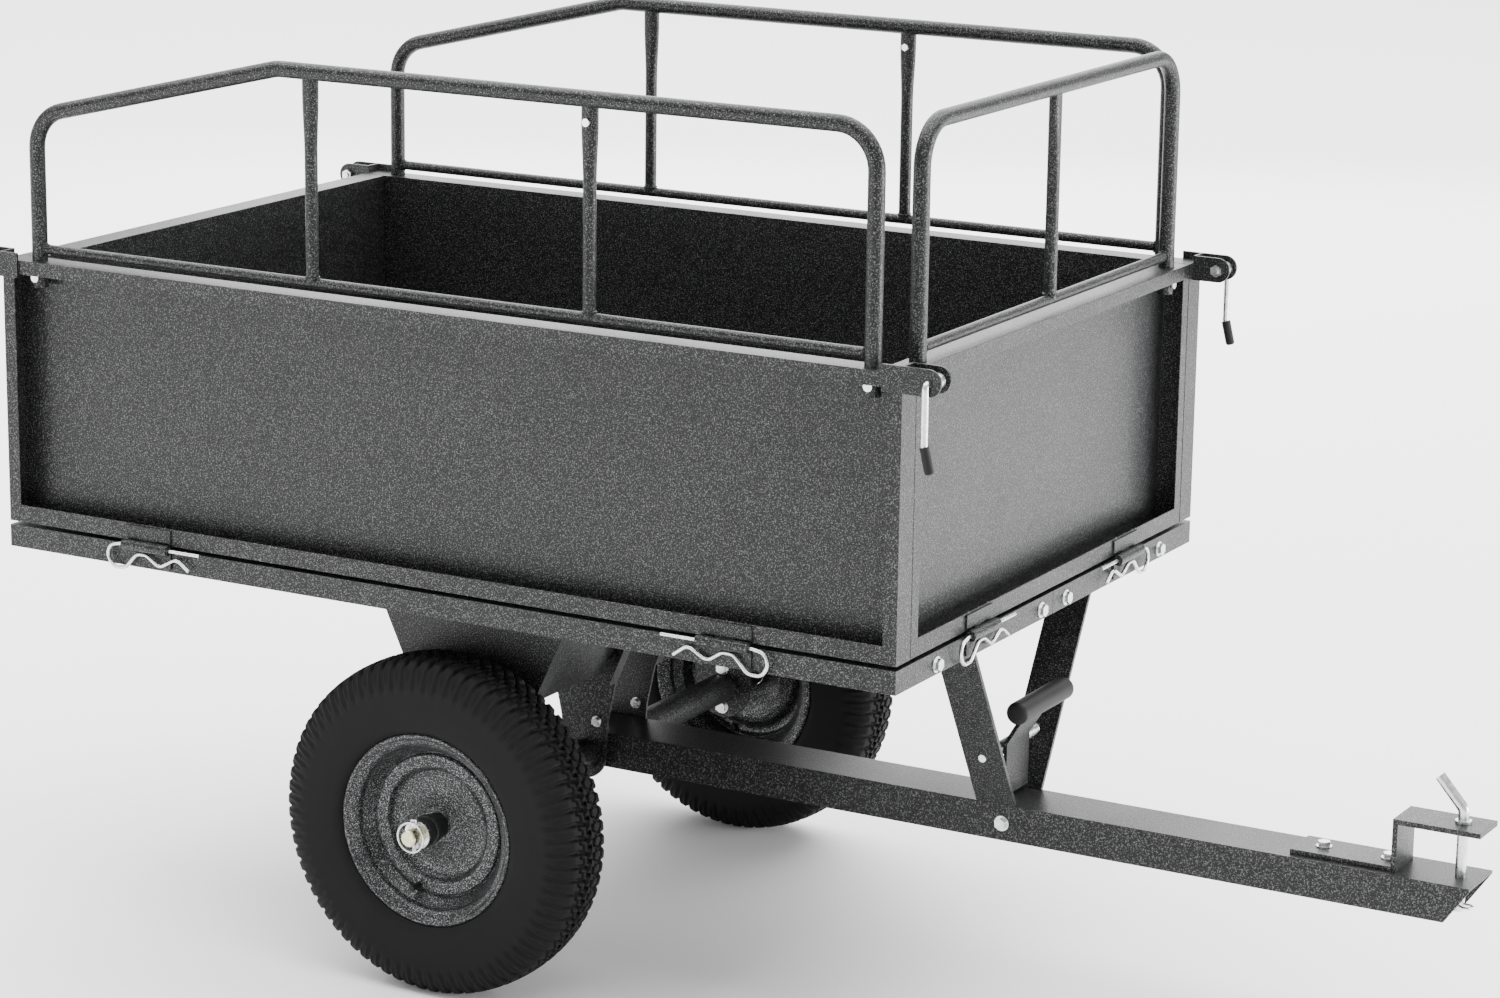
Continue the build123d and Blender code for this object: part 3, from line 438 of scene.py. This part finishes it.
def tyre_mesh(sign, pitches=74, steps=888):
    """radius(a, y) = section radius minus groove depth where zigzag, cross or shoulder grooves run."""
    section = tyre_section()
    a = np.linspace(0, 2 * np.pi, steps, endpoint=False)[None, :]
    r, y = section[:, :1] / MM, section[:, 1:] / MM
    u = a / (2 * np.pi) * pitches
    s = np.sign(y)
    depth = np.zeros((len(section), steps))
    for place, phase in ((7.5, 0.0), (20.5, 0.5)):
        line = np.abs(y) - (place + 2.6 * zig(u + phase + 0.25 * s))
        depth = np.maximum(depth, np.clip(1.8 - np.abs(line) / 1.3, 0, 1))
    row = (np.abs(y) > 7.5 + 0 * u).astype(float) + (np.abs(y) > 20.5)
    slant = 0.02 * y * (row < 1.5)
    depth = np.maximum(depth, near(u + 0.5 * row + 0.25 * s + slant, 0.10))
    edge = np.clip((np.abs(y) - 22.5) / 3, 0, 1)
    depth = np.maximum(depth, near(u + 0.25 * s, 0.12) * edge)
    crown = np.clip((r - 196.6) / 1.2, 0, 1)
    shoulder = np.clip((r - 168.5) / 3.0, 0, 1) * (1 - crown)
    long_rib = near(u + 0.25 * s, 0.16) * shoulder
    short_rib = near(u + 0.25 * s + 0.5, 0.13) * shoulder * np.clip((r - 180) / 3.0, 0, 1)
    notch = near(u + 0.25 * s, 0.13) * np.clip((r - 186) / 6, 0, 1) * (1 - crown)
    radial = r - 4.6 * depth * crown - 1.6 * notch
    flat = np.maximum(np.maximum(2.2 * long_rib, 1.8 * short_rib), 2.6 * notch)
    step = 0.9 * np.clip((r - 166.0) / 2.5, 0, 1) * (1 - crown)
    rib = 0.7 * np.exp(-((r - 121) / 1.5) ** 2) + step - 0.9
    across = y - s * (flat - rib)
    points = np.stack([radial * np.cos(a), across + 0 * a, radial * np.sin(a)], -1) * MM
    return grid(points + np.array([AXLE_X, sign * WHEEL_Y, AXLE_Z]), wrap_u=True, wrap_v=True)

for side, sign in SIDE.items():
    t = piece("tyre_tread_" + side, [tyre_mesh(sign)], TYRE, "wheel_" + side, ["tyre_" + side], 50)
    print(t.name, len(t.data.polygons), "faces")

# %% [markdown]
# ## Rims, hubs and valve stems
# The rims are pressed from sheet: a rolled flange, a sloping well, a raised ring and a domed disc welded
# to the hub tube. All of it is turned, so one rounded profile per rim is enough.

# %% Rim
def rim_profile(sign):
    """Closed rim section: rolled flange and sloping well, flat raised ring, step and domed disc."""
    front = [(115.6, 36.6), (116.2, 39.0), (114.0, 41.2), (110.8, 40.4), (108.2, 37.6), (103.2, 35.4),
             (99.4, 31.4), (97.8, 25.0), (92.4, 17.6), (88.4, 12.2), (86.6, 10.4), (85.4, 14.0), (83.6, 15.4),
             (71.4, 15.6), (69.2, 14.6), (66.6, 9.0), (63.4, 5.6), (58.0, 4.0), (48.0, 4.8), (36.0, 8.2),
             (26.0, 12.2), (20.6, 15.6), (16.2, 16.8)]
    back = [(16.2, 14.0), (26.0, 9.2), (36.0, 5.4), (48.0, 2.0), (58.0, 1.2), (65.0, 2.6), (69.4, 7.0),
            (72.0, 12.6), (82.6, 12.6), (84.4, 7.0), (87.4, 6.0), (87.6, -17.0), (97.4, -27.0), (98.4, -34.0),
            (103.6, -37.2), (108.4, -39.8), (111.5, -41.0), (114.6, -40.6), (115.6, -38.0), (112.0, -37.0),
            (104.8, -35.4), (100.9, -32.6), (100.9, -27.5), (90.2, -18.0), (90.2, 10.6), (100.9, 27.5),
            (100.9, 32.6), (104.8, 35.4), (112.0, 37.0)]
    loop = np.array(front + back, float)
    loop = rounded(np.concatenate([loop, loop[:1]]), 5.0, 4)[:-1]
    return loop * (MM, MM * sign)

def hub_profile(sign):
    """Hub tube with a rolled collar and a bush lip at each end."""
    return np.array([(10.3, -54), (15.2, -54), (17.6, -53), (18, -51), (18, -46), (17.2, -44.6), (16, -44),
                     (16, 30), (17.4, 30.6), (17.8, 32), (17.8, 36), (17.2, 37.4), (16, 38), (16, 44),
                     (17.2, 44.6), (18, 46), (18, 52), (17.4, 53.6), (15.2, 54), (10.3, 54)]) * (MM, MM * sign)

for side, sign in SIDE.items():
    centre = (AXLE_X, sign * WHEEL_Y, AXLE_Z)
    r = piece("rim_pressed_" + side, [lathe(rim_profile(sign), centre, 160, closed=True)], RIM_COAT,
              "wheel_" + side, ["rim_" + side], 30)
    h = piece("hub_turned_" + side, [lathe(hub_profile(sign), centre, 64, closed=True)], SMOOTH_COAT,
              "wheel_" + side, ["hub_" + side], 40)
    print(r.name, len(r.data.polygons), h.name, len(h.data.polygons))

# %% [markdown]
# ## Guards
# The guards are bent from one steel tube each. A low rail runs between the legs, and round posts stand on
# it. Each post's top is pressed a little flat before welding, so it widens under the top rail. The tube is
# a swept circle and the post a swept ellipse whose two half widths change with height.

# %% Guard tubes and posts
GUARD_R, RAIL_R, BEND_R = 9.5 * MM, 6 * MM, 48 * MM
POSTS = [AXLE_X - 165 * MM, AXLE_X + 207 * MM]
KNEE_BACK = 46 * MM
REAR_SLOPE = math.radians(13.5)
PANEL_TOP = float(corners("side_panel_left")[1][2])
RAIL_Z = PANEL_TOP + 14 * MM

def post(foot, top_z, along):
    """Ellipse swept upwards: half width 7.5 mm growing to 10.5 under the rail, thickness shrinking to 6.8."""
    z = np.linspace(foot[2], top_z, 26)
    press = np.clip((z - (top_z - 95 * MM)) / (70 * MM), 0, 1)
    press = press * press * (3 - 2 * press)
    wide, thin = (7.5 + 3.0 * press) * MM, (7.5 - 0.7 * press) * MM
    a = np.linspace(0, 2 * np.pi, 24, endpoint=False)
    way = np.array([*along, 0.0])
    cross = np.array([-along[1], along[0], 0.0])
    points = (np.array([foot[0], foot[1], 0.0]) + z[:, None, None] * np.array([0, 0, 1.0])
              + (wide[:, None] * np.cos(a))[..., None] * way + (thin[:, None] * np.sin(a))[..., None] * cross)
    verts, faces = grid(points, wrap_v=True)
    return verts, [tuple(f) for f in faces] + [tuple(range(24))[::-1], tuple(range(25 * 24, 26 * 24))]

def hoop(line):
    """Bent tube: a circle of the guard's radius along the line, with an arc at each bend."""
    plane = np.cross(line[1] - line[0], line[2] - line[1])
    return tube(rounded(line, BEND_R, 12), GUARD_R, 28, across=plane)

for side, sign in SIDE.items():
    low, high = corners("side_guard_" + side)
    x0, x1 = low[0] + GUARD_R, high[0] - GUARD_R
    y, top = (low[1] + high[1]) / 2, high[2] - GUARD_R
    knee = POSTS[0] - KNEE_BACK
    drop = (knee - x0) * math.tan(REAR_SLOPE)
    line = np.array([(x0, y, low[2]), (x0, y, top - drop), (knee, y, top), (x1, y, top), (x1, y, low[2])])
    parts = [hoop(line), tube([(x0, y, RAIL_Z), (x1, y, RAIL_Z)], RAIL_R, 20)]
    parts += [post((x, y, RAIL_Z), top, (1, 0)) for x in POSTS]
    g = piece("guard_tubes_" + side, parts, COAT, "side_panel_" + side, ["side_guard_" + side])
    print(g.name, len(g.data.polygons))
low, high = corners("front_guard")
x, top = (low[0] + high[0]) / 2, high[2] - GUARD_R
y0, y1 = low[1] + GUARD_R, high[1] - GUARD_R
line = np.array([(x, y0, low[2]), (x, y0, top), (x, y1, top), (x, y1, low[2])])
parts = [hoop(line), tube([(x, y0, RAIL_Z), (x, y1, RAIL_Z)], RAIL_R, 20)]
parts.append(post((x, 0, RAIL_Z), top, (0, 1)))
piece("guard_tubes_front", parts, COAT, "front_panel", ["front_guard"])
print("guards bent")

# %% [markdown]
# ## Hinge clips
# Each panel hangs on hairpin clips: one long straight leg is the hinge's pin, and the other is bent into
# a loop and two waves that grip the knuckle. A wire is a circle swept along a path, with every corner
# turned into a short arc, so one path serves all eight hinges, turned to face each side of the bed.

# %% Clips
BED_LOW, BED_HIGH = np.minimum(corners("floor_left")[0], corners("floor_right")[0]), corners("floor_left")[1]
CLIP_R = 2.25 * MM
CLIP = np.array([(-79, 0), (37, 0), (53, -3), (57, -16), (49, -30), (31, -29), (13, -9.6), (-1, -9.6),
                 (-17, -20), (-23, -20), (-45, -8), (-63, -21)]) * MM
KNUCKLE_R, LEAF_HALF = 6.5 * MM, 33.0 * MM
HINGE_Z = float(corners("side_leaves_left")[0][2]) + KNUCKLE_R

def hinge_spots():
    """Every hinge as (middle point, direction along it): two on each side of the bed."""
    spots = []
    for node_name, along in (("side_leaves_right", (1, 0)), ("side_leaves_left", (-1, 0)),
                             ("front_leaves", (0, 1)), ("rear_leaves", (0, -1))):
        low, high = corners(node_name)
        run = 0 if along[0] else 1
        for i, place in enumerate((low[run] + LEAF_HALF, high[run] - LEAF_HALF)):
            mid = (low + high) / 2
            mid[run] = place
            out = np.sign(mid[1 - run] - (BED_LOW + BED_HIGH)[1 - run] / 2)
            edge = high if out > 0 else low
            mid[1 - run] = edge[1 - run] - out * KNUCKLE_R
            mid[2] = HINGE_Z
            spots.append((mid, np.array([*along, 0.0]), i, out))
    return spots

def clip_wire(mid, along, flip):
    """Hinge point + along * x + z * up for each point of the clip's path."""
    way = along * (-1 if flip else 1)
    path = rounded(CLIP, 12.0 * MM, 9)
    points = mid + path[:, :1] * way + path[:, 1:] * np.array([0, 0, 1.0])
    return tube(points, CLIP_R, 12, across=np.cross(way, (0, 0, 1)))

SPOTS = hinge_spots()
wires = []
for mid, along, i, out in SPOTS:
    first = along[0] + along[1] > 0
    wires.append(clip_wire(mid, along, (i == 0) == first))
clips = piece("hinge_hairpin_clips", wires, ZINC, "bed", ["hinge_clips"], 60)
print("clips", len(wires), [round(float(v), 3) for v in clips.bound_box[0]])

# %% [markdown]
# ## Tack welds and weld beads
# The leaf of every hinge is tacked to the panel at three spots. Each guard post carries a bead at its foot,
# and the low rail one at each end. A bead is a thin torus whose thickness ripples, as a weld's does.

# %% Beads and tacks
def bead(centre, radius, thick, normal=(0, 0, 1), ripples=11, steps=44, around=8):
    """Rippled torus: distance from the ring = thick (1 + 0.22 sin(ripples a)), faces closed both ways."""
    n = np.array(normal, float)
    side = np.cross(n, (0.3, 0.9, 0.2))
    side /= np.linalg.norm(side)
    up = np.cross(n, side)
    a = np.linspace(0, 2 * np.pi, steps, endpoint=False)[:, None]
    b = np.linspace(0, 2 * np.pi, around, endpoint=False)[None, :]
    t = thick * (1 + 0.22 * np.sin(ripples * a))
    reach = (radius + t * np.cos(b))[..., None]
    ring = np.cos(a)[..., None] * side + np.sin(a)[..., None] * up
    points = np.array(centre) + reach * ring + (t * np.sin(b))[..., None] * n
    return grid(points, wrap_u=True, wrap_v=True)

def dome(centre, radius, normal, steps=14, rings=5):
    """Tack weld: half an ellipsoid of the given radius standing on a surface."""
    n = np.array(normal, float)
    side = np.cross(n, (0.2, 0.3, 0.9))
    side /= np.linalg.norm(side)
    up = np.cross(n, side)
    a = np.linspace(0, 2 * np.pi, steps, endpoint=False)[None, :]
    b = np.linspace(0.04, np.pi / 2, rings)[:, None]
    ring = np.cos(a)[..., None] * side + np.sin(a)[..., None] * up
    points = (np.array(centre) + radius * np.sin(b)[..., None] * ring
              + 0.6 * radius * np.cos(b)[..., None] * n)
    verts, faces = grid(points, wrap_v=True)
    faces = [tuple(f) for f in faces] + [tuple(range(steps))]
    return verts, faces + [tuple(range(len(verts) - 1, len(verts) - steps - 1, -1))]

BEAD_R, FOOT_R, END_R = 1.5 * MM, 7.2 * MM, 6.2 * MM
FOOT_Z, RAIL_END = PANEL_TOP + 20.5 * MM, 9.6 * MM
for side, sign in SIDE.items():
    low, high = corners("side_guard_" + side)
    y = (low[1] + high[1]) / 2
    beads = [bead((x, y, FOOT_Z), FOOT_R, BEAD_R) for x in POSTS]
    for x, out in ((low[0] + GUARD_R, 1), (high[0] - GUARD_R, -1)):
        beads.append(bead((x + out * RAIL_END, y, RAIL_Z), END_R, BEAD_R, (1, 0, 0)))
    piece("guard_beads_" + side, beads, COAT, "side_panel_" + side)
low, high = corners("front_guard")
x = (low[0] + high[0]) / 2
beads = [bead((x, 0, FOOT_Z), FOOT_R, BEAD_R)]
for y, out in ((low[1] + GUARD_R, 1), (high[1] - GUARD_R, -1)):
    beads.append(bead((x, y + out * RAIL_END, RAIL_Z), END_R, BEAD_R, (0, 1, 0)))
piece("guard_beads_front", beads, COAT, "front_panel")

TACK_R, TACK_STEP = 2.6 * MM, 24 * MM
TACK_BODY = {(1, 0): "side_panel_right", (-1, 0): "side_panel_left",
             (0, 1): "front_panel", (0, -1): "rear_panel"}
TACK_LEAF = {"side_panel_right": "side_leaves_right", "side_panel_left": "side_leaves_left",
             "front_panel": "front_leaves", "rear_panel": "rear_leaves"}
tacks = {}
for mid, along, i, out in SPOTS:
    body = TACK_BODY[(int(along[0]), int(along[1]))]
    run = 0 if along[0] else 1
    outward = np.zeros(3)
    outward[1 - run] = out
    panel_low, panel_high = corners(body)
    face = panel_high if out > 0 else panel_low
    for step in (-TACK_STEP, 0, TACK_STEP):
        at = mid + along * step
        at[1 - run] = face[1 - run] - out * 1.0 * MM
        at[2] = corners(TACK_LEAF[body])[1][2] + 0.6 * MM
        tacks.setdefault(body, []).append(dome(at, TACK_R, outward))
for body, parts in tacks.items():
    piece("leaf_tacks_" + body, parts, COAT, body)
print("beads and tacks", {k: len(v) for k, v in tacks.items()})

# %% [markdown]
# ## Stage, light and camera
# A wide soft box overhead, set back from the cart, lights the pale floor and draws a bright line on every
# top edge. Low boxes lift the front and the near panel from below the rim, so the bed stays dark inside. A
# fourth one comes from behind, and the world fills the shadows.

# %% Floor
def floor_piece():
    """A large pale plane."""
    mesh = bpy.data.meshes.new("studio_floor")
    s = 14.0
    mesh.from_pydata([(-s, -s, 0), (s, -s, 0), (s, s, 0), (-s, s, 0)], [], [(0, 1, 2, 3)])
    obj = bpy.data.objects.new("studio_floor", mesh)
    bpy.context.scene.collection.objects.link(obj)
    m = bpy.data.materials.new("pale_floor")
    m.use_nodes = True
    m.node_tree.nodes["Principled BSDF"].inputs["Base Color"].default_value = (0.93, 0.93, 0.93, 1)
    m.node_tree.nodes["Principled BSDF"].inputs["Roughness"].default_value = 0.85
    mesh.materials.append(m)
    return obj

floor_piece()
print("floor ready")

# %% Lights and world
def area_light(name, place, aim, wide, high, power):
    """A soft box of a width and height at a place, turned towards a point."""
    data = bpy.data.lights.new(name, "AREA")
    data.shape, data.size, data.size_y, data.energy = "RECTANGLE", wide, high, power
    obj = bpy.data.objects.new(name, data)
    obj.location = place
    obj.rotation_euler = (Vector(aim) - Vector(place)).to_track_quat("-Z", "Y").to_euler()
    bpy.context.scene.collection.objects.link(obj)
    return obj

LIGHTS = {"overhead_box": ((-2.4, 4.4, 8.0), (-2.4, 4.4, 0.0), 17.0, 17.0, 5400),
          "front_box": ((4.2, 1.7, 0.72), (0.3, 0, 0.6), 3.0, 1.2, 225),
          "near_box": ((-2.7, -4.3, 0.62), (-0.2, 0, 0.6), 2.6, 1.0, 50),
          "back_box": ((-2.4, 5.2, 2.2), (0, 0, 0.8), 4.0, 2.6, 150)}
for name, settings in LIGHTS.items():
    area_light(name, *settings)
world = bpy.data.worlds.new("studio_world")
bpy.context.scene.world = world
world.use_nodes = True
world.node_tree.nodes["Background"].inputs["Color"].default_value = (1, 1, 1, 1)
world.node_tree.nodes["Background"].inputs["Strength"].default_value = 0.9
print("lights ready")

# %% Camera
lens = bpy.data.cameras.new("portrait_camera")
lens.sensor_width, lens.lens = 36.0, 98.49
lens.clip_start, lens.clip_end = 0.1, 60.0
CAMERA_AT = (AXLE_X + 2.5343, -4.1687, 1.7171)
camera = bpy.data.objects.new("portrait_camera", lens)
bpy.context.scene.collection.objects.link(camera)
yaw, pitch, roll = math.radians(29.23), math.radians(-13.81), math.radians(0.795)
camera.matrix_world = (Matrix.Translation(Vector(CAMERA_AT))
                       @ Matrix.Rotation(yaw, 4, "Z") @ Matrix.Rotation(math.pi / 2 + pitch, 4, "X")
                       @ Matrix.Rotation(roll, 4, "Z"))
bpy.context.scene.camera = camera
print("camera at", tuple(round(v, 3) for v in camera.matrix_world.translation))
